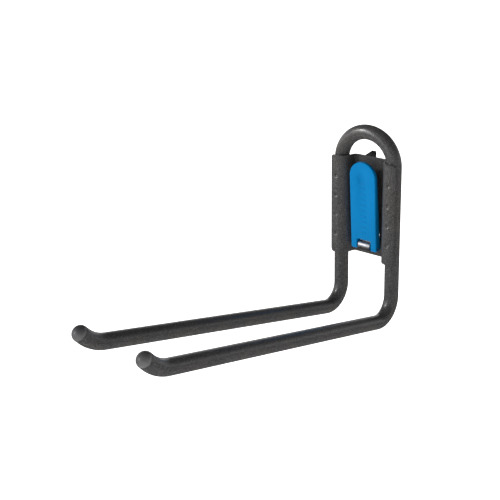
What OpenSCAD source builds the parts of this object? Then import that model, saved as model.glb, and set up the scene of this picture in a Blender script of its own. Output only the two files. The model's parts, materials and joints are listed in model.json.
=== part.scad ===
// Rail-hung storage rack: a bent tube with two long arms, welded into a pressed
// sheet bracket that hooks over a rail and is locked by a swinging lever.
// The back of the bracket lies in the plane y = 0 and the user stands at -Y.

/* [Tube] */
// Outside diameter of the tube
tube_od = 16; // [14:0.5:18]
// Wall thickness of the tube
tube_wall = 1.5; // [1:0.25:2.5]
// Distance between the centre lines of the two legs
leg_pitch = 68; // [66:1:74]
// Height from the lowest centre line of the arms to the centre of the top arch
leg_height = 169.5; // [160:0.5:190]
// Height of the bracket's lower edge above the lowest centre line of the arms
leg_drop = 62.5; // [50:0.5:70]
// Centre line radius of the bend between leg and arm
arm_bend_r = 23; // [20:1:30]
// Straight length of each arm
arm_length = 331; // [200:1:400]
// Angle by which each arm rises above the horizontal
arm_rise = 14; // [5:1:20]
// Angle by which each arm turns outwards
arm_splay = 1; // [0:0.5:3]
// Centre line radius of the upturned tip
tip_bend_r = 48; // [40:1:60]
// Angle of the upturned tip
tip_angle = 33; // [20:1:50]
// Straight length after the tip's bend
tip_length = 5.5; // [4:0.5:20]

/* [Bracket] */
// Thickness of the pressed sheet
sheet = 2; // [1.5:0.25:2.5]
// Height of the bracket
bracket_h = 112.5; // [110:0.5:118]
// Outside radius of the sleeves round the legs
sleeve_r = 11.8; // [11.5:0.1:12]
// Angle that each sleeve wraps towards the outside
sleeve_out = 42; // [20:1:60]
// Angle that each sleeve wraps towards the middle
sleeve_in = 75; // [65:1:80]
// Inside radius of the corner between sleeve wall and pan
pan_corner_r = 3; // [2:0.5:4]
// Mouth diameter of each weld dimple
dimple_d = 5.5; // [4:0.5:7]
// Distance between weld dimples
dimple_pitch = 22.5; // [20:0.5:24]

/* [Lever] */
// Width of the lever
lever_w = 33.3; // [32:0.1:34]
// Height of the lever above its pivot
lever_h = 98.6; // [90:0.2:100]
// Depth of the lever from front face to skirt edge
lever_depth = 8; // [7.5:0.5:8.5]
// Angle at which the lever gets thinner towards its top
lever_taper = 3; // [0:0.25:3]
// Wall thickness of the lever
lever_wall = 2.4; // [2.2:0.1:2.6]
// Angle by which the closed lever leans forwards
lever_lean = 3.2; // [2:0.1:4]
// Distance of the pivot from the back of the bracket
pivot_y = 9.4; // [9:0.1:10]
// Height of the pivot above the lower edge of the bracket
pivot_rise = 11.8; // [11.5:0.1:13]
// Diameter of the pivot pin
pin_d = 3.6; // [3.2:0.1:3.8]
// Outside radius of the rolled hinge eye
eye_r = 4.7; // [4.4:0.1:4.8]
// Width of the hinge strap
strap_w = 15.4; // [12:0.2:16]

/* [Hidden] */

$fn = 64;
eps = 0.01;
join = 0.5;
seam = 0.05;

tube_r = tube_od / 2;
bore_r = tube_r - tube_wall;
leg_x = leg_pitch / 2;
leg_y = -tube_r;
bracket_top = bracket_h / 2;
arm_low_z = -bracket_h / 2 - leg_drop;
arch_z = arm_low_z + leg_height;
bend_z = arm_low_z + arm_bend_r;

sleeve_in_r = sleeve_r - sheet;
pan_front = -sheet;
dimple_depth = sleeve_in_r - tube_r;
dimple_r = (pow(dimple_d / 2, 2) + pow(dimple_depth, 2)) / (2 * dimple_depth);
dimple_zs = [for (i = [-1.5 : 1.5]) i * dimple_pitch];
corner_cut = 2.5;

// The sleeve ends where its wall starts, and the wall ends in the pan's corner
wall_start = [leg_x - sleeve_r * sin(sleeve_in), leg_y - sleeve_r * cos(sleeve_in)];
wall_dir = [-cos(sleeve_in), sin(sleeve_in)];
wall_side = [-sin(sleeve_in), -cos(sleeve_in)];
corner_y = pan_front - pan_corner_r;
wall_len = (corner_y - pan_corner_r * wall_side[1] - wall_start[1]) / wall_dir[1];
wall_end = wall_start + wall_len * wall_dir;
corner_x = wall_end[0] + pan_corner_r * wall_side[0];

pivot = [0, -pivot_y, -bracket_top + pivot_rise];
pin_r = pin_d / 2;
running_r = pin_r + 0.06;
lever_front = -4.4;
lever_in = lever_front + lever_wall;
lever_back = lever_front + lever_depth;
taper_start = 12;
notch_w = 18;
notch_top = 8.3;
ear_drop = 3.2;
ear_wall = 1.3;
dish_d = 14;
dish_deep = 1.8;
dish_r = (pow(dish_d / 2, 2) + pow(dish_deep, 2)) / (2 * dish_deep);
dish_drop = 18.6;
dish_z = lever_h - dish_drop;
rib_w = 14;
rib_depth = 3.4;
rib_t = 1.2;
grip_count = 9;
grip_w = 7;
grip_h = 1.6;
grip_rise = 0.4;
grip_pitch = 6.4;
grip_z = 16;

finger_x = 10.6;
finger_t = 2;
finger_mid = finger_x + finger_t / 2;
hub_r = 3.9;
pocket_w = finger_t + 0.5;
pocket_y = lever_front + 1.1;
web_z = 13;
web_h = 14;
web_t = 2;
nose_reach = 15;
tooth_t = 2;
tooth_h = 6.2;
screw_x = 5;
screw_z = 20;
screw_r = 1.2;
screw_bite = 1.5;

window_w = finger_t + 0.8;
window_below = 5.5;
window_h = 20.3;
window_low = pivot[2] - window_below;

claw_top = bracket_top + 5;
claw_back = 6;
claw_lip_y = 3.6;
claw_root = [-8.9, 4.4];
claw_root_h = 6;
claw_tip = [-3, 1.6];
claw_lip_w = 7;
claw_lip_low = bracket_top - 18;
seat_w = 21;
seat_deep = 0.4;
seat_low = claw_lip_low - 2;

strap_t = eye_r - pin_r;
strap_top = 44;
strap_rivet_zs = [20, 36];
rivet_r = 1.6;
rivet_head_r = 3;
rivet_head_h = 1.1;

catch_w = 10;
catch_t = 1;
catch_low = 54;
catch_high = 68;
catch_hole_z = 59;
catch_rib_z = 66;
catch_reach = 9.3;

powder = [0.30, 0.30, 0.31];
lever_blue = [0.02, 0.53, 0.80];
zinc = [0.72, 0.72, 0.74];
black = [0.10, 0.10, 0.10];
cap_grey = [0.36, 0.36, 0.37];

// A wedge of the plane between two angles, counted from the +X direction
module sector(r, a0, a1) {
    steps = 6;
    polygon([[0, 0], for (i = [0 : steps])
        let (a = a0 + (a1 - a0) * i / steps) [2 * r * cos(a), 2 * r * sin(a)]]);
}

// Part of a ring between two angles
module ring_part(r_out, r_in, a0, a1) {
    intersection() {
        difference() {
            circle(r_out, $fn = 120);
            circle(r_in, $fn = 120);
        }
        sector(r_out, a0, a1);
    }
}

// A torus piece that starts at the origin heading down and turns towards -Y
module bend(bend_r, angle, r) {
    translate([0, -bend_r, 0])
        rotate([-90, 0, 90])
            rotate_extrude(angle = angle)
                translate([bend_r, 0])
                    circle(r);
}

// Moves its children from the start of such a bend to its end
module after_bend(bend_r, angle) {
    translate([0, -bend_r, 0])
        rotate([-angle, 0, 0])
            translate([0, bend_r, 0])
                children();
}

// Puts its children at the open end of an arm, heading down its own -Z
module at_arm_end(side) {
    translate([side * leg_x, leg_y, bend_z])
        rotate([0, 0, side * arm_splay])
            after_bend(arm_bend_r, 90 + arm_rise)
                translate([0, 0, -arm_length])
                    after_bend(tip_bend_r, tip_angle)
                        translate([0, 0, -tip_length])
                            children();
}

// A straight stretch of the bar, which reaches a little way into the bends it joins
module straight(length, r) {
    translate([0, 0, -join])
        cylinder(h = length + 2 * join, r = r - seam);
}

// The whole bent bar, with each open end longer by overrun
module bent_bar(r, overrun) {
    translate([0, leg_y, arch_z])
        rotate([90, 0, 0])
            rotate_extrude(angle = 180)
                translate([leg_x, 0])
                    circle(r);
    for (side = [-1, 1]) {
        translate([side * leg_x, leg_y, bend_z])
            straight(arch_z - bend_z, r);
        translate([side * leg_x, leg_y, bend_z])
            rotate([0, 0, side * arm_splay]) {
                bend(arm_bend_r, 90 + arm_rise, r);
                after_bend(arm_bend_r, 90 + arm_rise)
                    translate([0, 0, -arm_length]) {
                        straight(arm_length, r);
                        bend(tip_bend_r, tip_angle, r);
                    }
            }
        at_arm_end(side)
            translate([0, 0, -overrun])
                cylinder(h = tip_length + overrun + join, r = r - seam);
    }
}

module frame_tube() {
    color(powder)
        difference() {
            bent_bar(tube_r, 0);
            bent_bar(bore_r, 1);
        }
}

// Domed plastic plug pressed into the end of an arm
module end_cap(side) {
    dome_r = tube_r + 0.3;
    dome_sink = 1.5;
    plug_len = 14;
    plug_wall = 2;
    plug_base = 3;
    slot_w = 1.5;
    slot_start = 6;
    color(cap_grey)
        at_arm_end(side) {
            rotate([180, 0, 0])
                rotate_extrude()
                    intersection() {
                        translate([0, -dome_sink])
                            circle(dome_r);
                        square([tube_r, dome_r]);
                    }
            difference() {
                cylinder(h = plug_len, r = bore_r - 0.02);
                translate([0, 0, plug_base])
                    cylinder(h = plug_len, r = bore_r - plug_wall);
                for (a = [0, 90])
                    rotate([0, 0, a])
                        translate([-tube_r, -slot_w / 2, slot_start])
                            cube([tube_od, slot_w, plug_len]);
            }
        }
}

module end_cap_left() { end_cap(-1); }
module end_cap_right() { end_cap(1); }

// Half of the bracket's section: sleeve, wall, corner and half of the pan
module half_section() {
    translate([leg_x, leg_y])
        ring_part(sleeve_r, sleeve_in_r, 270 - sleeve_in, 270 + sleeve_out);
    back_shift = -sheet * wall_side;
    polygon([wall_start, wall_end, wall_end + back_shift, wall_start + back_shift]);
    translate([corner_x, corner_y])
        ring_part(pan_corner_r + sheet, pan_corner_r, 90 - sleeve_in, 90);
    translate([0, pan_front])
        square([corner_x, sheet]);
}

// Takes the corners off the outer edge of a sleeve
module edge_cuts(side) {
    reach = sleeve_r * sin(sleeve_out);
    cut_side = corner_cut * sqrt(2);
    for (end = [-1, 1])
        translate([side * (leg_x + reach), leg_y - sleeve_r, end * bracket_top])
            rotate([0, 45, 0])
                cube([cut_side, 2 * sleeve_r, cut_side], center = true);
}

module bracket() {
    crown = leg_y - sleeve_r;
    color(powder)
        difference() {
            union() {
                translate([0, 0, -bracket_top])
                    linear_extrude(bracket_h) {
                        half_section();
                        mirror([1, 0])
                            half_section();
                    }
                for (side = [-1, 1], z = dimple_zs)
                    intersection() {
                        translate([side * leg_x, crown + dimple_depth - dimple_r, z])
                            sphere(dimple_r + sheet - eps);
                        translate([side * leg_x, crown + sheet + 1, z])
                            cube([dimple_d + 3, 2.5, dimple_d + 3], center = true);
                    }
            }
            for (side = [-1, 1], z = dimple_zs)
                translate([side * leg_x, crown + dimple_depth - dimple_r, z])
                    sphere(dimple_r);
            for (side = [-1, 1]) {
                edge_cuts(side);
                translate([side * finger_mid - window_w / 2, pan_front - 1, window_low])
                    cube([window_w, sheet + 2, window_h]);
            }
            for (z = strap_rivet_zs)
                translate([0, 1, pivot[2] + z])
                    rotate([90, 0, 0])
                        cylinder(h = sheet + 2, r = rivet_r);
            translate([0, 1, pivot[2] + catch_hole_z])
                rotate([90, 0, 0])
                    cylinder(h = sheet + 2, r = rivet_r);
            // coined seat for the claw
            translate([-seat_w / 2, -seat_deep, seat_low])
                cube([seat_w, 1, bracket_h]);
        }
}

// Weld beads behind the bracket, between its walls and the legs, and at the claw
module weld_beads() {
    bead_r = 2.2;
    bead_len = 18;
    bead_pitch = 40;
    bead_x = wall_start[0] - wall_side[0] * sheet + wall_dir[0] * (wall_len + 1) + 1.9;
    bead_y = -2.4;
    small_r = 0.8;
    small_y = 0.3;
    small_len = claw_root_h - 1.5;
    small_low = bracket_top - claw_root_h + 0.5;
    color(powder) {
        for (side = [-1, 1], i = [-1 : 1])
            translate([side * bead_x, bead_y, i * bead_pitch - bead_len / 2])
                cylinder(h = bead_len, r = bead_r);
        for (x = [claw_root[0] - 0.6, claw_root[1] + 0.6])
            translate([x, small_y, small_low])
                cylinder(h = small_len, r = small_r);
    }
}

// Hook that drops over the upper lip of the rail
module hook_claw() {
    root_t = 2;
    lip_t = claw_back - claw_lip_y;
    lip_taper = 0.8;
    lip_join = 2;
    tip_w = claw_tip[1] - claw_tip[0];
    color(black) {
        hull() {
            translate([claw_root[0], -seat_deep, bracket_top - claw_root_h])
                cube([claw_root[1] - claw_root[0], root_t, claw_root_h]);
            translate([claw_tip[0], claw_lip_y, bracket_top - claw_root_h])
                cube([tip_w, lip_t, claw_top - 1 - bracket_top + claw_root_h]);
            translate([claw_tip[0], claw_lip_y, claw_top - eps])
                cube([tip_w, lip_t - 1, eps]);
        }
        hull() {
            translate([-claw_lip_w / 2, claw_lip_y, bracket_top - claw_root_h])
                cube([claw_lip_w, lip_t, lip_join]);
            translate([-claw_lip_w / 2, claw_lip_y + lip_taper, claw_lip_low])
                cube([claw_lip_w, lip_t - lip_taper, eps]);
        }
    }
}

// Strap with a rolled eye, fixed to the front of the pan
module hinge_strap() {
    leaf_back = pivot_y - sheet;
    leaf_front = leaf_back - strap_t;
    jog_low = 6;
    jog_high = 13;
    color(zinc)
        translate(pivot)
            difference() {
                translate([-strap_w / 2, 0, 0])
                    rotate([90, 0, 90])
                        linear_extrude(strap_w) {
                            circle(eye_r);
                            polygon([[pin_r, 0], [eye_r, 0], [eye_r, jog_low],
                                [leaf_back, jog_high], [leaf_back, strap_top],
                                [leaf_front, strap_top], [leaf_front, jog_high],
                                [pin_r, jog_low]]);
                        }
                translate([-strap_w, 0, 0])
                    rotate([0, 90, 0])
                        cylinder(h = 2 * strap_w, r = pin_r);
                for (z = strap_rivet_zs)
                    translate([0, leaf_back + 1, z])
                        rotate([90, 0, 0])
                            cylinder(h = strap_t + 2, r = rivet_r);
            }
}

// Rivet with a domed head towards -Y and its tail flush with the back
module rivet(grip) {
    rotate([90, 0, 0]) {
        cylinder(h = grip, r = rivet_r);
        translate([0, 0, grip])
            rotate_extrude()
                intersection() {
                    dome_r = (rivet_head_r * rivet_head_r + rivet_head_h * rivet_head_h)
                        / (2 * rivet_head_h);
                    translate([0, rivet_head_h - dome_r])
                        circle(dome_r);
                    square([rivet_head_r, rivet_head_h]);
                }
    }
}

module strap_rivets() {
    color(zinc)
        for (z = strap_rivet_zs)
            translate([0, 0, pivot[2] + z])
                rivet(sheet + strap_t);
}

// Leaf that snaps over a rib inside the lever and keeps it shut
module catch_spring() {
    back = pivot_y - sheet;
    tip = back - catch_reach;
    tip_w = 1.2;
    tip_z = catch_high + 1.4;
    tip_h = 1;
    color(zinc)
        translate(pivot)
            difference() {
                translate([-catch_w / 2, 0, 0])
                    rotate([90, 0, 90])
                        linear_extrude(catch_w)
                            polygon([[back, catch_low], [back, catch_high], [tip, tip_z],
                                [tip - tip_w / 2, tip_z + tip_h], [tip - tip_w, tip_z],
                                [tip, tip_z - tip_h], [back - catch_t, catch_high - catch_t],
                                [back - catch_t, catch_low]]);
                translate([0, back + 1, catch_hole_z])
                    rotate([90, 0, 0])
                        cylinder(h = catch_t + 2, r = rivet_r);
            }
}

module catch_rivet() {
    color(zinc)
        translate([0, 0, pivot[2] + catch_hole_z])
            rivet(sheet + catch_t);
}

// Pin that is tight in the eye and ends just inside the lever's sides
module lever_pin() {
    pin_len = lever_w - 0.8;
    color(zinc)
        translate(pivot - [pin_len / 2, 0, 0])
            rotate([0, 90, 0])
                cylinder(h = pin_len, r = pin_r);
}

// The lever's own frame: pivot at the origin, front face towards -Y
module in_lever() {
    translate(pivot)
        rotate([lever_lean, 0, 0])
            children();
}

// Outline of the lever from the front, made smaller by inset
module lever_outline(inset) {
    r = lever_w / 2;
    translate([0, lever_h - r])
        circle(r - inset, $fn = 120);
    translate([-r + inset, -ear_drop])
        square([2 * (r - inset), lever_h - r + ear_drop]);
}

// A slab with the given outline, between two depths of the lever
module lever_slab(y0, y1) {
    translate([0, y1, 0])
        rotate([90, 0, 0])
            linear_extrude(y1 - y0)
                children();
}

// Lever shell without its details: a tray that opens to the back
module lever_tray() {
    r = lever_w / 2;
    ear_x = (notch_w + ear_wall) / 2;
    difference() {
        lever_slab(lever_front, lever_back)
            lever_outline(0);
        lever_slab(lever_in, lever_back + 1)
            difference() {
                lever_outline(lever_wall);
                for (side = [-1, 1])
                    translate([side * ear_x, 0])
                        square([ear_wall, 2 * notch_top], center = true);
            }
        // open bottom between the walls
        translate([-r + lever_wall, lever_in, -ear_drop - 1])
            cube([2 * (r - lever_wall), lever_depth, ear_drop + 1.5]);
        // skirt gets shallower towards the top
        translate([-lever_w, lever_back, taper_start])
            rotate([lever_taper, 0, 0])
                cube([2 * lever_w, lever_depth, lever_h]);
    }
    for (side = [-1, 1])
        translate([side * ear_x - ear_wall / 2, lever_in - eps, -ear_drop])
            cube([ear_wall, lever_back - lever_in, ear_drop + notch_top]);
}

module lever() {
    color(lever_blue)
        in_lever()
            difference() {
                union() {
                    lever_tray();
                    // backing of the thumb dish
                    lever_slab(lever_in - eps, lever_in + dish_deep - 0.4)
                        translate([0, dish_z])
                            circle(dish_d / 2 + 1.5);
                    // rib held by the catch spring
                    translate([-rib_w / 2, lever_in - eps, catch_rib_z])
                        cube([rib_w, rib_depth, rib_t]);
                    for (i = [0 : grip_count - 1])
                        translate([-grip_w / 2, lever_front - grip_rise, grip_z + i * grip_pitch])
                            cube([grip_w, grip_rise + 0.1, grip_h]);
                }
                translate([-notch_w / 2, lever_front - 1, -ear_drop - 1])
                    cube([notch_w, lever_depth + 2, ear_drop + 1 + notch_top]);
                translate([0, lever_front + dish_deep - dish_r, dish_z])
                    sphere(dish_r, $fn = 96);
                translate([-lever_w, 0, 0])
                    rotate([0, 90, 0])
                        cylinder(h = 2 * lever_w, r = running_r);
                for (side = [-1, 1]) {
                    translate([side * screw_x, lever_in + 1, screw_z])
                        rotate([90, 0, 0])
                            cylinder(h = screw_bite + 1.1, r = screw_r);
                    // pocket for the hub of the lock cam
                    translate([side * finger_mid - pocket_w / 2, pocket_y, -ear_drop - 1])
                        cube([pocket_w, lever_in - pocket_y + 1, ear_drop + 1 + hub_r + 0.5]);
                }
            }
}

// Steel insert of the lever: two fingers that lock behind the rail's lower lip
module lock_cam() {
    nose_low = -3;
    nose_high = 1.2;
    arm_t = 3.5;
    color(black)
        difference() {
            union() {
                for (side = [-1, 1])
                    translate(pivot + [side * finger_mid - finger_t / 2, 0, 0])
                        rotate([90, 0, 90])
                            linear_extrude(finger_t) {
                                circle(hub_r);
                                translate([0, nose_low])
                                    square([nose_reach, nose_high - nose_low]);
                                translate([nose_reach - tooth_t, nose_low])
                                    square([tooth_t, tooth_h]);
                                rotate(lever_lean)
                                    translate([lever_in + 0.5, 0])
                                        square([arm_t, web_z + web_h - 1]);
                            }
                in_lever()
                    translate([-finger_x - finger_t + 0.3, lever_in + 0.05, web_z])
                        cube([2 * (finger_x + finger_t - 0.3), web_t, web_h]);
            }
            translate(pivot - [lever_w, 0, 0])
                rotate([0, 90, 0])
                    cylinder(h = 2 * lever_w, r = running_r);
            // flat on the hubs, clear of the lever's pocket
            in_lever()
                translate([-lever_w, pocket_y + 0.05 - hub_r, -2 * hub_r])
                    cube([2 * lever_w, hub_r, 4 * hub_r]);
            in_lever()
                for (side = [-1, 1])
                    translate([side * screw_x, lever_in + web_t + 1, screw_z])
                        rotate([90, 0, 0])
                            cylinder(h = web_t + 1.2, r = screw_r);
        }
}

module cam_screws() {
    head_r = 2.5;
    head_h = 1.4;
    color(zinc)
        in_lever()
            for (side = [-1, 1])
                translate([side * screw_x, lever_in + 0.05 + web_t, screw_z])
                    rotate([90, 0, 0]) {
                        cylinder(h = web_t + screw_bite, r = screw_r);
                        translate([0, 0, -head_h])
                            cylinder(h = head_h, r = head_r);
                    }
}

frame_tube();
end_cap_left();
end_cap_right();
bracket();
weld_beads();
hook_claw();
hinge_strap();
strap_rivets();
catch_spring();
catch_rivet();
lever_pin();
lever();
lock_cam();
cam_screws();
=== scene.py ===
import json
import math

import bmesh
import bpy
from mathutils import Matrix, Vector


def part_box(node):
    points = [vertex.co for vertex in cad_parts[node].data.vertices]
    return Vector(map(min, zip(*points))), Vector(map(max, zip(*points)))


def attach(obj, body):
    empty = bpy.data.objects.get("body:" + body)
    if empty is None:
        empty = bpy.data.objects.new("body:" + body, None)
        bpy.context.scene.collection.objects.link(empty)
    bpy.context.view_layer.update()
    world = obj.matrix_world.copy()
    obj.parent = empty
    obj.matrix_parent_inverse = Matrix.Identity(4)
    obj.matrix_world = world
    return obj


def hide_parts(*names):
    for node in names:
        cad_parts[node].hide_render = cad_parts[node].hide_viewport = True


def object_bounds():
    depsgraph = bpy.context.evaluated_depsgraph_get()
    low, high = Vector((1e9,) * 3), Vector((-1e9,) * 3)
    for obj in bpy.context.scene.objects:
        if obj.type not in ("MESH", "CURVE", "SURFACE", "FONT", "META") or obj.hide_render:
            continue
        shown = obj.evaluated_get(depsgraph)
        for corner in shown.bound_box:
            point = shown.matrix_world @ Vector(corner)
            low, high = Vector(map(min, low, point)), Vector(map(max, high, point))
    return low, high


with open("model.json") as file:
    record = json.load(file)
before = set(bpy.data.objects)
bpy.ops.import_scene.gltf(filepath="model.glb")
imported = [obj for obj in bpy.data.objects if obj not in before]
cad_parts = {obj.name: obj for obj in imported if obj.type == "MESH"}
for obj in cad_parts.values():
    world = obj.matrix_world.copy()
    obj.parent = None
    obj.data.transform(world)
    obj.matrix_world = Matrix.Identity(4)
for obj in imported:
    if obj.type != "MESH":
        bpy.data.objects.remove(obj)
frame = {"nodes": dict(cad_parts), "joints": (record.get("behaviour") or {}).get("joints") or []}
cad_low, cad_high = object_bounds()

# Lengths below are millimetres, and every mesh is scaled by MM when it is made.
MM = 0.001

# ---------------------------------------------------------------- driving dimensions
claw_low, claw_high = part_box("hook_claw")
strap_low, strap_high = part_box("hinge_strap")
pin_low, pin_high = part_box("lever_pin")
tube_low, tube_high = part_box("frame_tube")
lever_low, lever_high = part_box("lever")

TUBE_R = 8.0
TUBE_WALL = 1.5
LEG_X = 34.0
LEG_Y = -TUBE_R
ARM_BEND_R = 23.0
ARM_RISE = math.radians(14)
ARM_SPLAY = math.radians(1)
ARM_LENGTH = 331.0
TIP_BEND_R = 48.0
TIP_ANGLE = math.radians(33)
TIP_LENGTH = 5.5

SHEET = 2.0
SLEEVE_MID_R = 10.8
SLEEVE_OUT = math.radians(42)
SLEEVE_IN = math.radians(75)
PAN_CORNER_MID_R = 4.0
PAN_MID_Y = -SHEET / 2
DIMPLE_R = 3.2
DIMPLE_DEPTH = 1.8
DIMPLE_ZS = [-33.75, -11.25, 11.25, 33.75]
DIMPLE_ROWS = 9
CORNER_CUT = 2.5

BRACKET_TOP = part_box("bracket")[1].z / MM
ARCH_Z = tube_high.z / MM - LEG_X - TUBE_R
ARM_LOW_Z = tube_low.z / MM + TUBE_R
BEND_Z = ARM_LOW_Z + ARM_BEND_R

PIVOT = Vector(frame["joints"][0]["pos_m"]) / MM
PIN_R = (pin_high.z - pin_low.z) / MM / 2
BORE_R = PIN_R + 0.06
WINDOW_IN = 10.2
WINDOW_OUT = 13.0
WINDOW_LOW = PIVOT.z - 5.5
WINDOW_HIGH = PIVOT.z + 14.8
EYE_R = 4.7
STRAP_W = (strap_high.x - strap_low.x) / MM
STRAP_TOP = strap_high.z / MM - PIVOT.z
LEAF_BACK = -PIVOT.y - SHEET
STRAP_RIVET_ZS = [20.0, 36.0]
CATCH_RIVET_Z = 59.0
LEAF_THICK = 1.0
BEAD_R = 2.2
BEAD_Y = -2.4
BEAD_ZS = [-40.0, 0.0, 40.0]
SCREW_X = 5.0
SCREW_Z = 20.0
CAM_WEB = 2.0
CAM_GAP = 0.05

LEVER_W = (lever_high.x - lever_low.x) / MM
LEVER_TOP = 98.6
LEVER_LEAN = math.radians(3.2)
LEVER_FRONT = -4.4
LEVER_BACK = 3.6
LEVER_WALL = 2.4
LEVER_FLOOR = LEVER_FRONT + LEVER_WALL
LEVER_TAPER = math.tan(math.radians(3))
TAPER_START = 12.0
EAR_DROP = 3.2
EAR_WALL = 1.3
NOTCH_HALF = 9.0
NOTCH_TOP = 8.3
DISH_Z = 80.0
DISH_MOUTH = 7.1
DISH_DEEP = 1.8
GRIP_BARS = 9
GRIP_FIRST_Z = 16.8
GRIP_PITCH = 6.4
LEVER_FRAME = Matrix.Translation(PIVOT) @ Matrix.Rotation(LEVER_LEAN, 4, "X")


# ---------------------------------------------------------------- mesh helpers
def add_piece(name, bm, body, material, nodes=(), sharp=30.0):
    """Turns a bmesh in millimetres into a piece that rides on a body."""
    bmesh.ops.remove_doubles(bm, verts=bm.verts, dist=0.0005)
    bmesh.ops.recalc_face_normals(bm, faces=bm.faces)
    bmesh.ops.scale(bm, vec=(MM, MM, MM), verts=bm.verts)
    mesh = bpy.data.meshes.new(name)
    bm.to_mesh(mesh)
    bm.free()
    return finish_piece(name, mesh, body, material, nodes, sharp)


def finish_piece(name, mesh, body, material, nodes, sharp):
    """Makes the object, smooths it, and says what it rides on and replaces."""
    mesh.materials.clear()
    mesh.materials.append(material)
    piece = bpy.data.objects.new(name, mesh)
    smooth_by_angle(piece, sharp)
    bpy.context.scene.collection.objects.link(piece)
    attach(piece, body)
    if nodes:
        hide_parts(*nodes)
    return piece


def bake_modifiers(piece):
    """Applies a piece's modifiers, so that its mesh is final."""
    bpy.context.view_layer.update()
    graph = bpy.context.evaluated_depsgraph_get()
    old = piece.data
    piece.data = bpy.data.meshes.new_from_object(piece.evaluated_get(graph))
    piece.data.name = old.name
    piece.modifiers.clear()
    bpy.data.meshes.remove(old)


def smooth_by_angle(piece, degrees):
    """Smooth shading, except across edges sharper than the angle."""
    for polygon in piece.data.polygons:
        polygon.use_smooth = True
    piece.data.set_sharp_from_angle(angle=math.radians(degrees))


def add_bevel(piece, width, segments=3, angle=30.0):
    """Rounds the edges sharper than the angle, by a width in millimetres."""
    bevel = piece.modifiers.new("edge", "BEVEL")
    bevel.width = width * MM
    bevel.segments = segments
    bevel.limit_method = "ANGLE"
    bevel.angle_limit = math.radians(angle)
    bevel.use_clamp_overlap = True


def round_edges(piece, width, segments, angle, sharp):
    """Bevels a piece for good and smooths it again."""
    add_bevel(piece, width, segments, angle)
    bake_modifiers(piece)
    smooth_by_angle(piece, sharp)


def subtract(piece, cutters):
    """Cuts the cutters, temporary objects in metres, out of a piece."""
    for cutter in cutters:
        cut = piece.modifiers.new("cut", "BOOLEAN")
        cut.operation = "DIFFERENCE"
        cut.solver = "EXACT"
        cut.object = cutter
    bake_modifiers(piece)
    for cutter in cutters:
        bpy.data.objects.remove(cutter)


def cutter_from(bm):
    """A temporary object from a bmesh in millimetres, for subtract()."""
    bmesh.ops.recalc_face_normals(bm, faces=bm.faces)
    bmesh.ops.scale(bm, vec=(MM, MM, MM), verts=bm.verts)
    mesh = bpy.data.meshes.new("cutter")
    bm.to_mesh(mesh)
    bm.free()
    cutter = bpy.data.objects.new("cutter", mesh)
    bpy.context.scene.collection.objects.link(cutter)
    cutter.hide_render = True
    return cutter


def box_into(bm, low, high, matrix=Matrix.Identity(4)):
    """Adds a closed box between two corners."""
    low = Vector(low)
    high = Vector(high)
    middle = Matrix.Translation((low + high) / 2)
    stretch = Matrix.Diagonal((high - low).to_4d())
    bmesh.ops.create_cube(bm, size=1.0, matrix=matrix @ middle @ stretch)


def bridge(bm, loop_a, loop_b):
    """Quads between two closed loops with equally many vertices."""
    count = len(loop_a)
    for i in range(count):
        j = (i + 1) % count
        bm.faces.new((loop_a[i], loop_a[j], loop_b[j], loop_b[i]))


def revolve_into(bm, profile, matrix, sides=48):
    """Adds a closed turned solid. profile is (radius, height) pairs from axis to axis."""
    loops = []
    for radius, height in profile:
        if radius < 1e-6:
            loops.append([bm.verts.new(matrix @ Vector((0, 0, height)))])
            continue
        loop = []
        for i in range(sides):
            turn = 2 * math.pi * i / sides
            point = Vector((radius * math.cos(turn), radius * math.sin(turn), height))
            loop.append(bm.verts.new(matrix @ point))
        loops.append(loop)
    for a, b in zip(loops, loops[1:]):
        if len(a) == 1:
            for i in range(sides):
                bm.faces.new((a[0], b[i], b[(i + 1) % sides]))
        elif len(b) == 1:
            for i in range(sides):
                bm.faces.new((a[i], a[(i + 1) % sides], b[0]))
        else:
            bridge(bm, a, b)


def extrude_into(bm, outline, x0, x1, matrix=Matrix.Identity(4)):
    """Adds a closed prism: outline is (y, z) pairs and the prism runs along X."""
    loops = []
    for x in (x0, x1):
        loops.append([bm.verts.new(matrix @ Vector((x, y, z))) for y, z in outline])
    bridge(bm, loops[0], loops[1])
    bm.faces.new(loops[0])
    bm.faces.new(loops[1][::-1])


def arc(centre, radius, start, end, steps):
    """Points on an arc, angles in radians, ends included."""
    points = []
    for i in range(steps + 1):
        turn = start + (end - start) * i / steps
        points.append((centre[0] + radius * math.cos(turn), centre[1] + radius * math.sin(turn)))
    return points


def along_y(point):
    """A frame at a point whose Z axis points towards -Y, out of the wall."""
    return Matrix.Translation(point) @ Matrix.Rotation(math.radians(90), 4, "X")


def along_x(point, side=1):
    """A frame at a point whose Z axis points towards +X, or -X."""
    return Matrix.Translation(point) @ Matrix.Rotation(side * math.radians(90), 4, "Y")


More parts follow.
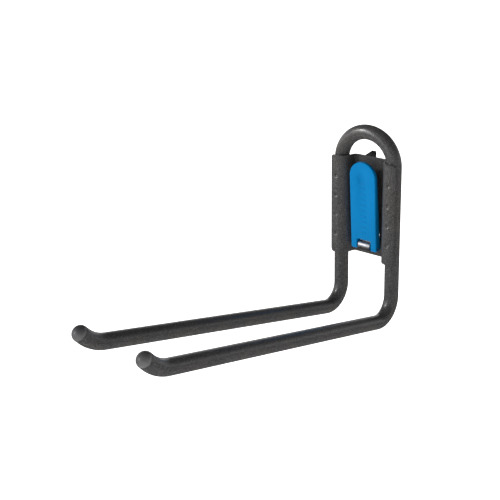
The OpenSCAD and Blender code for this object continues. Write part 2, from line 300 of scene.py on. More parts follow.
# ---------------------------------------------------------------- materials
class Nodes:
    """A short way to write a node material."""

    def __init__(self, name):
        self.material = bpy.data.materials.new(name)
        self.material.use_nodes = True
        self.tree = self.material.node_tree
        self.shader = self.tree.nodes["Principled BSDF"]
        self.where = self.add("ShaderNodeTexCoord").outputs["Object"]

    def add(self, kind, **values):
        node = self.tree.nodes.new(kind)
        for key, value in values.items():
            setattr(node, key, value)
        return node

    def link(self, source, target):
        self.tree.links.new(source, target)

    def noise(self, per_metre, detail=2.0, roughness=0.5, stretch=(1, 1, 1)):
        scaled = self.add("ShaderNodeMapping")
        scaled.inputs["Scale"].default_value = stretch
        self.link(self.where, scaled.inputs["Vector"])
        node = self.add("ShaderNodeTexNoise")
        node.inputs["Scale"].default_value = per_metre
        node.inputs["Detail"].default_value = detail
        node.inputs["Roughness"].default_value = roughness
        self.link(scaled.outputs["Vector"], node.inputs["Vector"])
        return node.outputs["Fac"]

    def cells(self, per_metre):
        """Distance to the middle of the nearest cell."""
        node = self.add("ShaderNodeTexVoronoi")
        node.inputs["Scale"].default_value = per_metre
        self.link(self.where, node.inputs["Vector"])
        return node.outputs["Distance"]

    def remap(self, source, low, high, to_low, to_high):
        node = self.add("ShaderNodeMapRange")
        node.inputs["From Min"].default_value = low
        node.inputs["From Max"].default_value = high
        node.inputs["To Min"].default_value = to_low
        node.inputs["To Max"].default_value = to_high
        self.link(source, node.inputs["Value"])
        return node.outputs["Result"]

    def ramp(self, source, stops):
        node = self.add("ShaderNodeValToRGB")
        elements = node.color_ramp.elements
        while len(elements) < len(stops):
            elements.new(0.5)
        for element, (place, colour) in zip(elements, stops):
            element.position = place
            element.color = (*colour, 1.0)
        self.link(source, node.inputs["Fac"])
        return node.outputs["Color"]

    def mix(self, factor, colour_a, colour_b, blend="MIX"):
        node = self.add("ShaderNodeMix", data_type="RGBA", blend_type=blend)
        for key, value in (("Factor", factor), ("A", colour_a), ("B", colour_b)):
            sockets = [s for s in node.inputs if s.name == key and s.enabled]
            if isinstance(value, bpy.types.NodeSocket):
                self.link(value, sockets[0])
            elif key == "Factor":
                sockets[0].default_value = value
            else:
                sockets[0].default_value = (*value, 1.0)
        return [s for s in node.outputs if s.enabled][0]

    def bump(self, height, distance, strength, below=None):
        node = self.add("ShaderNodeBump")
        node.inputs["Distance"].default_value = distance * MM
        node.inputs["Strength"].default_value = strength
        self.link(height, node.inputs["Height"])
        if below is not None:
            self.link(below, node.inputs["Normal"])
        return node.outputs["Normal"]

    def finish(self, colour, roughness, normal, metallic=0.0, specular=0.5):
        self.link(colour, self.shader.inputs["Base Color"])
        self.link(roughness, self.shader.inputs["Roughness"])
        self.link(normal, self.shader.inputs["Normal"])
        self.shader.inputs["Metallic"].default_value = metallic
        self.shader.inputs["Specular IOR Level"].default_value = specular
        return self.material


def powder_coat():
    """Granite-grey powder coat: dark and light grains, a few bright flecks, orange peel."""
    n = Nodes("granite_powder_coat")
    grain = n.noise(1500, 3.0, 0.7)
    base = n.ramp(grain, [(0.36, (0.018, 0.018, 0.019)), (0.50, (0.047, 0.047, 0.047)),
                          (0.66, (0.128, 0.125, 0.122))])
    clump = n.ramp(n.noise(620, 2.0, 0.6),
                   [(0.38, (0.76, 0.76, 0.78)), (0.62, (1.24, 1.23, 1.21))])
    base = n.mix(1.0, base, clump, "MULTIPLY")
    patch = n.noise(26, 2.0)
    warm = n.ramp(patch, [(0.35, (0.93, 0.95, 1.0)), (0.65, (1.05, 1.01, 0.97))])
    toned = n.mix(1.0, base, warm, "MULTIPLY")
    fleck = n.remap(n.cells(900), 0.10, 0.22, 1.0, 0.0)
    chosen = n.remap(n.noise(420, 1.0), 0.60, 0.66, 0.0, 1.0)
    both = n.add("ShaderNodeMath", operation="MULTIPLY")
    n.link(fleck, both.inputs[0])
    n.link(chosen, both.inputs[1])
    colour = n.mix(both.outputs["Value"], toned, (0.36, 0.35, 0.34))
    roughness = n.remap(n.noise(60, 3.0), 0.3, 0.7, 0.40, 0.50)
    peel = n.bump(n.noise(700, 2.0), 0.045, 0.45)
    normal = n.bump(grain, 0.020, 0.5, peel)
    n.shader.inputs["Coat Weight"].default_value = 0.75
    n.shader.inputs["Coat Roughness"].default_value = 0.24
    return n.finish(colour, roughness, normal, specular=0.4)


def black_coat():
    """Satin black coat with faint scuffs."""
    n = Nodes("satin_black_coat")
    scuff = n.noise(150, 4.0, 0.65, (1, 1, 0.25))
    colour = n.ramp(scuff, [(0.45, (0.007, 0.007, 0.008)), (0.75, (0.028, 0.028, 0.029))])
    roughness = n.remap(scuff, 0.3, 0.8, 0.34, 0.56)
    normal = n.bump(n.noise(900, 2.0), 0.05, 0.4)
    return n.finish(colour, roughness, normal, specular=0.15)


def zinc_plate():
    """Satin zinc plating with a rolled grain and a cloudy haze."""
    n = Nodes("zinc_plate")
    haze = n.noise(160, 4.0, 0.6)
    colour = n.ramp(haze, [(0.3, (0.33, 0.335, 0.35)), (0.7, (0.48, 0.485, 0.50))])
    line = n.noise(700, 2.0, 0.6, (6, 1, 0.35))
    roughness = n.remap(haze, 0.3, 0.7, 0.42, 0.56)
    normal = n.bump(line, 0.03, 0.5)
    return n.finish(colour, roughness, normal, metallic=1.0)


def blue_plastic():
    """Smooth moulded plastic with a fine spark-eroded grain and slight flow clouding."""
    n = Nodes("blue_lever_plastic")
    cloud = n.noise(38, 3.0, 0.55, (1, 1, 0.5))
    colour = n.ramp(cloud, [(0.3, (0.0, 0.150, 0.372)), (0.7, (0.0, 0.172, 0.422))])
    fine = n.noise(1500, 2.0)
    roughness = n.remap(n.noise(240, 3.0), 0.3, 0.7, 0.30, 0.42)
    normal = n.bump(fine, 0.02, 0.35)
    return n.finish(colour, roughness, normal, specular=0.06)


def cap_plastic():
    """Satin grey moulded plastic of the end caps."""
    n = Nodes("grey_cap_plastic")
    cloud = n.noise(120, 3.0)
    colour = n.ramp(cloud, [(0.3, (0.110, 0.112, 0.117)), (0.7, (0.160, 0.162, 0.168))])
    roughness = n.remap(n.noise(300, 3.0), 0.3, 0.7, 0.28, 0.40)
    normal = n.bump(n.noise(1200, 2.0), 0.03, 0.45)
    return n.finish(colour, roughness, normal)


def weld_metal():
    """Coated weld bead: the powder coat over a rough, scaly surface."""
    n = Nodes("coated_weld")
    grain = n.noise(1100, 3.0, 0.7)
    colour = n.ramp(grain, [(0.36, (0.026, 0.026, 0.028)), (0.66, (0.120, 0.116, 0.112))])
    roughness = n.remap(n.noise(200, 3.0), 0.3, 0.7, 0.42, 0.60)
    normal = n.bump(grain, 0.10, 0.7)
    return n.finish(colour, roughness, normal)


POWDER = powder_coat()
BLACK = black_coat()
ZINC = zinc_plate()
BLUE = blue_plastic()
CAP = cap_plastic()
WELD = weld_metal()


# ---------------------------------------------------------------- bent tube
def arm_route(side):
    """Centre line from the arch's top to the open end, as (point, heading) pairs."""
    out = Vector((math.sin(side * ARM_SPLAY), -math.cos(side * ARM_SPLAY), 0))
    up = Vector((0, 0, 1))
    route = []
    arch_steps = 36
    for i in range(arch_steps + 1):
        turn = math.radians(90) * (1 - i / arch_steps)
        place = Vector((side * LEG_X * math.cos(turn), LEG_Y, ARCH_Z + LEG_X * math.sin(turn)))
        heading = Vector((side * math.sin(turn), 0, -math.cos(turn)))
        route.append((place, heading))
    place = Vector((side * LEG_X, LEG_Y, BEND_Z))
    angle = 0.0
    bends = ((ARM_BEND_R, math.radians(90) + ARM_RISE, 36, ARM_LENGTH),
             (TIP_BEND_R, TIP_ANGLE, 18, TIP_LENGTH))
    for radius, sweep, steps, length in bends:
        start = angle
        for i in range(steps + 1):
            angle = start + sweep * i / steps
            forward = radius * (math.cos(start) - math.cos(angle))
            drop = radius * (math.sin(angle) - math.sin(start))
            heading = out * math.sin(angle) - up * math.cos(angle)
            route.append((place + out * forward - up * drop, heading))
        place = route[-1][0] + route[-1][1] * length
        route.append((place, heading))
    return route


def arm_end(side):
    """A frame at an open end, with Z pointing out of the tube."""
    place, heading = arm_route(side)[-1]
    return Matrix.Translation(place) @ heading.to_track_quat("Z", "Y").to_matrix().to_4x4()


def build_tube():
    """The bent bar as one hollow sweep, open at both ends."""
    sides = 64
    right = arm_route(1)
    left = [(place, -heading) for place, heading in arm_route(-1)]
    route = left[::-1] + right[1:]
    bm = bmesh.new()
    across = Vector((0, -1, 0))
    outer, inner = [], []
    for place, heading in route:
        across = (across - heading * across.dot(heading)).normalized()
        second = heading.cross(across)
        for loops, radius in ((outer, TUBE_R), (inner, TUBE_R - TUBE_WALL)):
            loop = []
            for i in range(sides):
                turn = 2 * math.pi * i / sides
                spoke = across * math.cos(turn) + second * math.sin(turn)
                loop.append(bm.verts.new(place + spoke * radius))
            loops.append(loop)
    for loops in (outer, inner):
        for a, b in zip(loops, loops[1:]):
            bridge(bm, a, b)
    bridge(bm, outer[0], inner[0])
    bridge(bm, outer[-1], inner[-1])
    tube = add_piece("bent_tube", bm, "frame", POWDER, ["frame_tube"])
    round_edges(tube, 0.4, 2, 60.0, 40)


def build_cap(side):
    """Domed plug: rim, shallow groove and dome outside, a plain stepped spigot inside the tube."""
    dome_r = TUBE_R + 0.3
    sink = 1.5
    rim = TUBE_R - 0.15
    profile = [(0, -13.6), (3.9, -13.6), (4.4, -13.2), (4.4, -3.4), (6.44, -3.2), (6.44, -0.02),
               (rim - 0.3, 0.0), (rim, 0.25), (rim, 0.75), (rim - 0.28, 0.95), (rim - 0.28, 1.15)]
    edge = math.acos((rim - 0.35) / dome_r)
    steps = 16
    for i in range(steps + 1):
        turn = edge + (math.pi / 2 - edge) * i / steps
        profile.append((dome_r * math.cos(turn), dome_r * math.sin(turn) - sink))
    profile[-1] = (0, dome_r - sink)
    bm = bmesh.new()
    revolve_into(bm, profile, arm_end(side), 64)
    name = "cap_right" if side > 0 else "cap_left"
    node = "end_cap_right" if side > 0 else "end_cap_left"
    add_piece(name, bm, "frame", CAP, [node], 25)


# ---------------------------------------------------------------- bracket
def sleeve_profile():
    """Middle line of the right half of the sheet, from sleeve edge to the pan's centre."""
    points = []
    centre = (LEG_X, LEG_Y)
    quarter = math.radians(90)
    start = 3 * quarter + SLEEVE_OUT
    end = 3 * quarter - SLEEVE_IN
    wrap_steps = 60
    points += arc(centre, SLEEVE_MID_R, start, end, wrap_steps)
    wrap_end = points[wrap_steps]
    lean = quarter - SLEEVE_IN
    corner_y = PAN_MID_Y - PAN_CORNER_MID_R
    wall_y = corner_y + PAN_CORNER_MID_R * math.sin(lean)
    run = (wall_y - points[-1][1]) / math.sin(SLEEVE_IN)
    wall_x = points[-1][0] - run * math.cos(SLEEVE_IN)
    for i in (1, 2, 3):
        share = i / 4
        points.append((wrap_end[0] + (wall_x - wrap_end[0]) * share,
                       wrap_end[1] + (wall_y - wrap_end[1]) * share))
    corner_x = wall_x - PAN_CORNER_MID_R * math.cos(lean)
    points += arc((corner_x, corner_y), PAN_CORNER_MID_R, lean, quarter, 12)
    for x in (WINDOW_OUT, WINDOW_IN, 5.0, 0.0):
        points.append((x, PAN_MID_Y))
    return points



def bracket_rows():
    """Heights of the grid's rows: close together at the dimples and the ends."""
    rows = [-BRACKET_TOP, BRACKET_TOP, WINDOW_LOW, WINDOW_HIGH]
    for centre in DIMPLE_ZS:
        reach = DIMPLE_R * 1.15
        rows += [centre + reach * i / DIMPLE_ROWS for i in range(-DIMPLE_ROWS, DIMPLE_ROWS + 1)]
    for end in (-1, 1):
        rows += [end * (BRACKET_TOP - step) for step in (0.8, 1.6, 2.5, 4.0, 7.0)]
    rows += [-40.0, -22.5, 0.0, 22.5, 45.0]
    rows = sorted(rows)
    kept = [rows[0]]
    least_gap = 0.15
    for row in rows[1:]:
        if row - kept[-1] > least_gap:
            kept.append(row)
        elif row in (WINDOW_LOW, WINDOW_HIGH, BRACKET_TOP):
            kept[-1] = row
    return kept


def build_bracket():
    """The pressed sheet: a grid on its middle surface, dented, pierced and thickened."""
    half = sleeve_profile()
    mirrored = [(-x, y) for x, y in half[:-1]]
    profile = half + mirrored[::-1]
    rows = bracket_rows()
    edge_x = half[0][0]
    bm = bmesh.new()
    grid = []
    for z in rows:
        line = []
        for x, y in profile:
            side = 1 if x > 0 else -1
            cut = max(0.0, CORNER_CUT - (edge_x - abs(x)))
            height = z * (BRACKET_TOP - cut) / BRACKET_TOP
            place = Vector((x, y, height))
            spoke = Vector((x - side * LEG_X, y - LEG_Y, 0))
            if y < LEG_Y and abs(spoke.length - SLEEVE_MID_R) < 0.01:
                round_the_leg = math.atan2(spoke.x, -spoke.y) * (SLEEVE_MID_R + SHEET / 2)
                for centre in DIMPLE_ZS:
                    share = math.hypot(round_the_leg, height - centre) / DIMPLE_R
                    if share < 1:
                        place -= spoke.normalized() * DIMPLE_DEPTH * (1 - share ** 2)
            line.append(bm.verts.new(place))
        grid.append(line)
    for k in range(len(rows) - 1):
        for i in range(len(profile) - 1):
            x = (profile[i][0] + profile[i + 1][0]) / 2
            z = (rows[k] + rows[k + 1]) / 2
            if WINDOW_IN < abs(x) < WINDOW_OUT and WINDOW_LOW < z < WINDOW_HIGH:
                continue
            bm.faces.new((grid[k][i], grid[k][i + 1], grid[k + 1][i + 1], grid[k + 1][i]))
    loose = [v for v in bm.verts if not v.link_faces]
    bmesh.ops.delete(bm, geom=loose, context="VERTS")
    bracket = add_piece("pressed_bracket", bm, "frame", POWDER, ["bracket"])
    thick = bracket.modifiers.new("sheet", "SOLIDIFY")
    thick.thickness = SHEET * MM
    thick.offset = 0.0
    thick.use_even_offset = True
    bake_modifiers(bracket)
    round_edges(bracket, 0.35, 3, 50.0, 35)


def build_welds():
    """Rippled beads behind the bracket, and two short ones beside the claw."""
    bm = bmesh.new()
    bead_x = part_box("weld_beads")[1].x / MM - BEAD_R
    for side in (-1, 1):
        for centre in BEAD_ZS:
            bead_into(bm, Vector((side * bead_x, BEAD_Y, centre)), 9.0, BEAD_R - 0.05)
        claw_x = (claw_high if side > 0 else claw_low).x / MM + side * 0.6
        bead_into(bm, Vector((claw_x, 0.3, BRACKET_TOP - 3.2)), 2.4, 0.8)
    add_piece("weld_beads_coated", bm, "frame", WELD, ["weld_beads"], 70)


def bead_into(bm, centre, half_length, radius):
    """One bead along Z: overlapping ripples with tapered ends."""
    steps = max(16, int(half_length * 6))
    ripple_pitch = 1.5
    profile = []
    for i in range(steps + 1):
        share = -1 + 2 * i / steps
        taper = math.sqrt(max(0.0, 1 - abs(share) ** 5))
        ripple = 1 + 0.05 * math.sin(half_length * share * 2 * math.pi / ripple_pitch)
        profile.append((radius * taper * ripple * 0.95, share * half_length))
    profile[0] = (0, -half_length)
    profile[-1] = (0, half_length)
    revolve_into(bm, profile, Matrix.Translation(centre), 20)


# ---------------------------------------------------------------- edge-rounded copies
def rounded_copy(name, node, body, material, width):
    """A copy of a flat-faced node's mesh with its edges rounded; it replaces the node."""
    bm = bmesh.new()
    bm.from_mesh(frame["nodes"][node].data)
    bmesh.ops.remove_doubles(bm, verts=bm.verts, dist=0.002 * MM)
    bmesh.ops.dissolve_limit(bm, angle_limit=math.radians(1.0), verts=bm.verts, edges=bm.edges)
    bmesh.ops.recalc_face_normals(bm, faces=bm.faces)
    mesh = bpy.data.meshes.new(name)
    bm.to_mesh(mesh)
    bm.free()
    piece = finish_piece(name, mesh, body, material, [node], 30)
    round_edges(piece, width, 3, 25.0, 30)


# ---------------------------------------------------------------- hinge, catch and fasteners
def build_strap():
    """Leaf with a rolled eye: the strip's end comes round and nearly meets the leaf."""
    front = LEAF_BACK - (EYE_R - PIN_R)
    jog_low, jog_high = 6.0, 13.0
    curl = math.radians(-262)
    eye_bore = PIN_R + 0.02
    corner = 0.8
    outline = arc((0, 0), EYE_R, 0.0, curl, 48) + arc((0, 0), eye_bore, curl, 0.0, 48)
    outline += [(eye_bore, jog_low - 0.4), (front, jog_high), (front, STRAP_TOP - corner),
                (front + corner, STRAP_TOP), (LEAF_BACK - corner, STRAP_TOP),
                (LEAF_BACK, STRAP_TOP - corner), (LEAF_BACK, jog_high), (EYE_R, jog_low)]
    bm = bmesh.new()
    extrude_into(bm, outline, -STRAP_W / 2, STRAP_W / 2, Matrix.Translation(PIVOT))
    strap = add_piece("rolled_hinge_strap", bm, "frame", ZINC, ["hinge_strap"])
    round_edges(strap, 0.45, 3, 60.0, 35)


def rivet_into(bm, z, grip):
    """A rivet through the pan: domed head in front, upset tail at the back."""
    shank = 1.6
    head = 3.0
    rise = 1.1
    dome = (head ** 2 + rise ** 2) / (2 * rise)
    profile = [(0, -0.18), (1.2, -0.16), (1.9, -0.06), (2.0, 0.04), (shank, 0.10), (shank, grip),
               (head - 0.12, grip), (head, grip + 0.12)]
    steps = 10
    edge = math.asin((head - 0.05) / dome)
    for i in range(steps + 1):
        turn = edge * (1 - i / steps)
        profile.append((dome * math.sin(turn), grip + rise - dome * (1 - math.cos(turn))))
    profile[-1] = (0, grip + rise)
    revolve_into(bm, profile, along_y(Vector((0, 0, PIVOT.z + z))), 40)


def build_rivets():
    """The pair that holds the hinge strap, and the one that holds the catch leaf."""
    bm = bmesh.new()
    for z in STRAP_RIVET_ZS:
        rivet_into(bm, z, SHEET + EYE_R - PIN_R)
    add_piece("strap_rivet_pair", bm, "frame", ZINC, ["strap_rivets"], 40)
    bm = bmesh.new()
    rivet_into(bm, CATCH_RIVET_Z, SHEET + LEAF_THICK)
    add_piece("catch_leaf_rivet", bm, "frame", ZINC, ["catch_rivet"], 40)


def build_pin():
    """A plain pin with chamfered ends."""
    half = (pin_high.x - pin_low.x) / MM / 2
    chamfer = 0.45
    edge = half - 0.55
    profile = [(0, -half), (PIN_R - chamfer, -half), (PIN_R, -half + chamfer), (PIN_R, -edge),
               (PIN_R, edge), (PIN_R, half - chamfer), (PIN_R - chamfer, half), (0, half)]
    bm = bmesh.new()
    revolve_into(bm, profile, along_x(PIVOT), 48)
    add_piece("hinge_pin", bm, "frame", ZINC, ["lever_pin"], 30)


def build_screws():
    """Two pan-head screws with a cross recess, inside the lever."""
    bm = bmesh.new()
    slots = {45: bmesh.new(), 135: bmesh.new()}
    head = 2.5
    rise = 1.4
    shaft = 1.2
    tip = -CAM_WEB - 1.4
    for side in (-1, 1):
        place = (side * SCREW_X, LEVER_FLOOR + CAM_GAP + CAM_WEB, SCREW_Z)
        seat = LEVER_FRAME @ Matrix.Translation(place) @ Matrix.Rotation(math.radians(-90), 4, "X")
        profile = [(0, tip), (shaft - 0.3, tip), (shaft, tip + 0.4), (shaft, 0),
                   (head - 0.15, 0), (head, 0.15), (head, 0.6)]
        profile += [(head * math.cos(t), 0.6 + (rise - 0.6) * math.sin(t))
                    for t in (math.radians(a) for a in (20, 40, 60, 75))]
        profile.append((0, rise))
        revolve_into(bm, profile, seat, 40)
        for turn, slot in slots.items():
            spun = seat @ Matrix.Rotation(math.radians(turn), 4, "Z")
            box_into(slot, (-1.35, -0.28, rise - 0.9), (1.35, 0.28, rise + 0.5), spun)
    screws = add_piece("cam_screw_pair", bm, "lever", ZINC, ["cam_screws"], 35)
    subtract(screws, [cutter_from(slot) for slot in slots.values()])
    smooth_by_angle(screws, 35)


# ---------------------------------------------------------------- lever
def lever_outline(inset, notch_inset):
    """Front outline of the lever as (x, z) points, moved inwards by the insets."""
    half = LEVER_W / 2
    ear = max(1.8 - inset, 0.1)
    lip = max(1.4 - inset, 0.1)
    throat = 1.0 + notch_inset
    low = -EAR_DROP + inset
    side_x = half - inset
    notch_x = NOTCH_HALF + notch_inset
    quarter = math.radians(90)
    points = arc((side_x - ear, low + ear), ear, -quarter, 0, 8)
    points += arc((0, LEVER_TOP - half), half - inset, 0, 2 * quarter, 72)
    points += arc((-side_x + ear, low + ear), ear, 2 * quarter, 3 * quarter, 8)
    points += arc((-notch_x - lip, low + lip), lip, 3 * quarter, 4 * quarter, 6)
    top = NOTCH_TOP + notch_inset
    points += arc((-notch_x + throat, top - throat), throat, 2 * quarter, quarter, 6)
    points += arc((notch_x - throat, top - throat), throat, quarter, 0, 6)
    points += arc((notch_x + lip, low + lip), lip, 2 * quarter, 3 * quarter, 6)
    return points


def lever_loop(bm, inset, y, notch_inset=None, tapered=False):
    """One closed loop of the shell; a tapered loop comes forward towards the top."""
    shape = lever_outline(inset, inset if notch_inset is None else notch_inset)
    points = []
    for x, z in shape:
        shift = LEVER_TAPER * max(0.0, z - TAPER_START) if tapered else 0.0
        points.append(bm.verts.new((x, y - shift, z)))
    return points


def fill_between(bm, loops):
    """Fills a flat region bounded by closed loops of vertices."""
    edges = []
    for loop in loops:
        for a, b in zip(loop, loop[1:] + loop[:1]):
            edges.append(bm.edges.get((a, b)) or bm.edges.new((a, b)))
    bmesh.ops.triangle_fill(bm, use_beauty=True, use_dissolve=False, edges=edges)


def dish_loops(bm, mouth, deep, y, rings=14, sides=72):
    """Rings of a thumb dish whose lip runs smoothly into the flat face."""
    loops = []
    for k in range(rings):
        share = 1 - k / rings
        depth = deep * (1 - share ** 2)
        loop = []
        for i in range(sides):
            turn = 2 * math.pi * i / sides
            x = mouth * share * math.cos(turn)
            z = DISH_Z + mouth * share * math.sin(turn)
            loop.append(bm.verts.new((x, y + depth, z)))
        loops.append(loop)
    for a, b in zip(loops, loops[1:]):
        bridge(bm, a, b)
    bottom = bm.verts.new((0, y + deep, DISH_Z))
    last = loops[-1]
    for i in range(sides):
        bm.faces.new((last[i], last[(i + 1) % sides], bottom))
    return loops[0]


def build_lever():
    """The moulded tray with its thumb dish, notch, ears, pin bore and hub pockets."""
    bm = bmesh.new()
    fillet = 1.3
    lip = 0.35
    loops = []
    steps = 7
    for i in range(steps + 1):
        turn = math.radians(90) * i / steps
        inset = fillet * (1 - math.sin(turn))
        loops.append(lever_loop(bm, inset, LEVER_FRONT + fillet * (1 - math.cos(turn))))
    for inset, y in ((0.0, LEVER_BACK - lip), (lip * 0.3, LEVER_BACK - lip * 0.3),
                     (lip, LEVER_BACK)):
        loops.append(lever_loop(bm, inset, y, tapered=True))
    for inset, y, tapered in ((LEVER_WALL - lip, LEVER_BACK, True),
                              (LEVER_WALL, LEVER_BACK - lip, True),
                              (LEVER_WALL, LEVER_FLOOR + 0.4, False),
                              (LEVER_WALL + 0.4, LEVER_FLOOR, False)):
        loops.append(lever_loop(bm, inset, y, min(inset, EAR_WALL), tapered))
    for a, b in zip(loops, loops[1:]):
        bridge(bm, a, b)
    fill_between(bm, [loops[-1]])
    mouth = dish_loops(bm, DISH_MOUTH, DISH_DEEP, LEVER_FRONT)
    fill_between(bm, [loops[0], mouth])
    bmesh.ops.transform(bm, matrix=LEVER_FRAME, verts=bm.verts)
    lever = add_piece("lever_shell", bm, "lever", BLUE, ["lever"], 40)
    cut = bmesh.new()
    inner_x = NOTCH_HALF + EAR_WALL
    outer_x = LEVER_W / 2 - LEVER_WALL
    pocket_x = inner_x + 2.55
    pockets = bmesh.new()
    for side in (-1, 1):
        low_x, high_x = sorted((side * (inner_x + 0.05), side * (outer_x - 0.05)))
        box_into(cut, (low_x, LEVER_FLOOR + 0.05, -EAR_DROP - 1),
                 (high_x, LEVER_BACK + 1, 1.5), LEVER_FRAME)
        low_x, high_x = sorted((side * (inner_x + 0.05), side * pocket_x))
        box_into(pockets, (low_x, LEVER_FRONT + 1.1, -EAR_DROP - 1),
                 (high_x, LEVER_FLOOR + 0.5, 4.4), LEVER_FRAME)
    bore = bmesh.new()
    revolve_into(bore, [(0, -LEVER_W), (BORE_R, -LEVER_W), (BORE_R, LEVER_W), (0, LEVER_W)],
                 along_x(PIVOT), 40)
    subtract(lever, [cutter_from(cut), cutter_from(pockets), cutter_from(bore)])
    smooth_by_angle(lever, 40)


def bar_into(bm, centre_z, half_w, half_h, y, rise):
    """A raised bar with round ends and softened edges on the lever's face."""
    loops = []
    for inset, height in ((0.0, 0.15), (0.0, -rise * 0.5), (0.12, -rise * 0.85), (0.3, -rise)):
        radius = half_h - inset
        shape = arc((half_w - half_h, centre_z), radius, math.radians(-90), math.radians(90), 10)
        shape += arc((-half_w + half_h, centre_z), radius, math.radians(90), math.radians(270), 10)
        loops.append([bm.verts.new(LEVER_FRAME @ Vector((x, y + height, z))) for x, z in shape])
    for a, b in zip(loops, loops[1:]):
        bridge(bm, a, b)
    bm.faces.new(loops[0])
    bm.faces.new(loops[-1][::-1])


def build_lever_details():
    """Grip bars on the face, and the catch rib and the dish's backing inside."""
    bm = bmesh.new()
    for i in range(GRIP_BARS):
        bar_into(bm, GRIP_FIRST_Z + i * GRIP_PITCH, 3.5, 0.8, LEVER_FRONT, 0.4)
    sunk = LEVER_FLOOR - 0.2
    box_into(bm, (-7, sunk, 66.0), (7, LEVER_FLOOR + 3.4, 67.2), LEVER_FRAME)
    back = LEVER_FRAME @ Matrix.Translation((0, sunk, DISH_Z))
    back = back @ Matrix.Rotation(math.radians(-90), 4, "X")
    revolve_into(bm, [(0, 0), (8.5, 0), (8.5, 1.3), (8.2, 1.6), (0, 1.6)], back, 56)
    add_piece("lever_grip_bars", bm, "lever", BLUE, (), 40)


build_tube()
build_cap(-1)
build_cap(1)
build_bracket()
build_welds()
rounded_copy("rail_hook", "hook_claw", "frame", BLACK, 0.5)
build_strap()
build_rivets()
rounded_copy("catch_leaf", "catch_spring", "frame", ZINC, 0.15)
build_pin()
build_lever()
build_lever_details()
rounded_copy("lock_fork", "lock_cam", "lever", BLACK, 0.2)
build_screws()


# ---------------------------------------------------------------- camera, floor and light
AZIMUTH = math.radians(41.354)
ELEVATION = math.radians(21.206)
ROLL = math.radians(-1.594)
DISTANCE = 1.0902
LENS = 74.64
SENSOR = 36.0
FLOOR_HALF = 300.0
FLOOR_DROP = 0.30
AIM = Vector((-0.0596, -0.1360, -0.02405))


def place_camera():
    """Camera at the aim, a distance away along the viewing angle."""
    right = Vector((math.cos(AZIMUTH), math.sin(AZIMUTH), 0))
    up = Vector((-math.sin(AZIMUTH) * math.sin(ELEVATION),
                 math.cos(AZIMUTH) * math.sin(ELEVATION), math.cos(ELEVATION)))
    back = right.cross(up)
    tilted_right = right * math.cos(ROLL) + up * math.sin(ROLL)
    tilted_up = up * math.cos(ROLL) - right * math.sin(ROLL)
    data = bpy.data.cameras.new("camera")
    data.lens = LENS
    data.sensor_width = SENSOR
    camera = bpy.data.objects.new("camera", data)
    turn = Matrix((tilted_right, tilted_up, back)).transposed().to_4x4()
    camera.matrix_world = Matrix.Translation(AIM + back * DISTANCE) @ turn
    bpy.context.scene.collection.objects.link(camera)
    bpy.context.scene.camera = camera


def place_floor():
    """A wide pale floor, which glows so that it stays plain."""
    bm = bmesh.new()
    bmesh.ops.create_grid(bm, x_segments=2, y_segments=2, size=FLOOR_HALF)
    mesh = bpy.data.meshes.new("floor")
    bm.to_mesh(mesh)
    bm.free()
    floor = bpy.data.objects.new("floor", mesh)
    floor.location = (0, 0, cad_low.z - FLOOR_DROP)
    bpy.context.scene.collection.objects.link(floor)
    n = Nodes("pale_floor")
    n.shader.inputs["Base Color"].default_value = (0.86, 0.86, 0.86, 1)
    n.shader.inputs["Roughness"].default_value = 0.9
    n.shader.inputs["Specular IOR Level"].default_value = 0.1
    n.shader.inputs["Emission Color"].default_value = (1, 0.99, 0.975, 1)
    n.shader.inputs["Emission Strength"].default_value = 1.70
    floor.data.materials.append(n.material)
    floor.visible_glossy = False


def aim_light(data, place, target):
    """Puts a light at a place, turned towards its target."""
    light = bpy.data.objects.new(data.name, data)
    light.location = place
    light.rotation_euler = (target - place).to_track_quat("-Z", "Y").to_euler()
    bpy.context.scene.collection.objects.link(light)


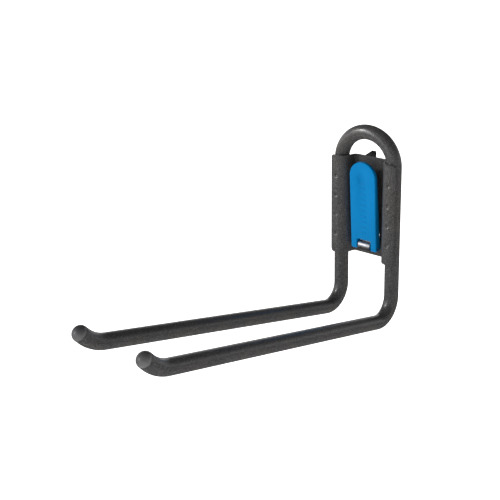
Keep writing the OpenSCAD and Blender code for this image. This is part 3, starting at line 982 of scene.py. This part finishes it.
def place_softbox(place, target, size, power):
    """A square soft light for the whole object."""
    data = bpy.data.lights.new("key", "AREA")
    data.shape = "SQUARE"
    data.size = size
    data.energy = power
    aim_light(data, place, target)


def place_spot(place, target, power):
    """A soft-edged spot that reaches the bracket and the arch but not the arms."""
    data = bpy.data.lights.new("bracket_spot", "SPOT")
    data.energy = power
    data.spot_size = math.radians(15)
    data.spot_blend = 0.5
    data.shadow_soft_size = 0.11
    aim_light(data, place, target)


def light_scene():
    """A world with a bright band at the horizon, dimmer to the right, and two lights."""
    world = bpy.data.worlds.new("studio")
    world.use_nodes = True
    tree = world.node_tree
    where = tree.nodes.new("ShaderNodeTexCoord")
    split = tree.nodes.new("ShaderNodeSeparateXYZ")
    ramp = tree.nodes.new("ShaderNodeValToRGB")
    tree.links.new(where.outputs["Generated"], split.inputs["Vector"])
    height = tree.nodes.new("ShaderNodeMapRange")
    height.inputs["From Min"].default_value = -1.0
    tree.links.new(split.outputs["Z"], height.inputs["Value"])
    tree.links.new(height.outputs["Result"], ramp.inputs["Fac"])
    stops = [(0.455, 0.08), (0.465, 0.95), (0.550, 0.95), (0.640, 0.12)]
    while len(ramp.color_ramp.elements) < len(stops):
        ramp.color_ramp.elements.new(0.5)
    for element, (place, grey) in zip(ramp.color_ramp.elements, stops):
        element.position = place
        element.color = (grey, grey, grey * 1.02, 1)
    shader = tree.nodes["Background"]
    tree.links.new(ramp.outputs["Color"], shader.inputs["Color"])
    sideways = tree.nodes.new("ShaderNodeMapRange")
    for name, value in (("From Min", -1.0), ("To Min", 1.15), ("To Max", 0.45)):
        sideways.inputs[name].default_value = value
    tree.links.new(split.outputs["X"], sideways.inputs["Value"])
    tree.links.new(sideways.outputs["Result"], shader.inputs["Strength"])
    bpy.context.scene.world = world
    aim = Vector((0, -0.05, 0))
    place_softbox(aim + Vector((-0.85, -1.42, 0.50)), aim, 0.36, 3.6)
    bracket_middle = Vector((0, -0.02, 0.025))
    place_spot(bracket_middle + Vector((-0.78, -0.80, 0.62)), bracket_middle, 36.0)


place_camera()
light_scene()
place_floor()
bpy.context.scene.view_settings.view_transform = "Standard"
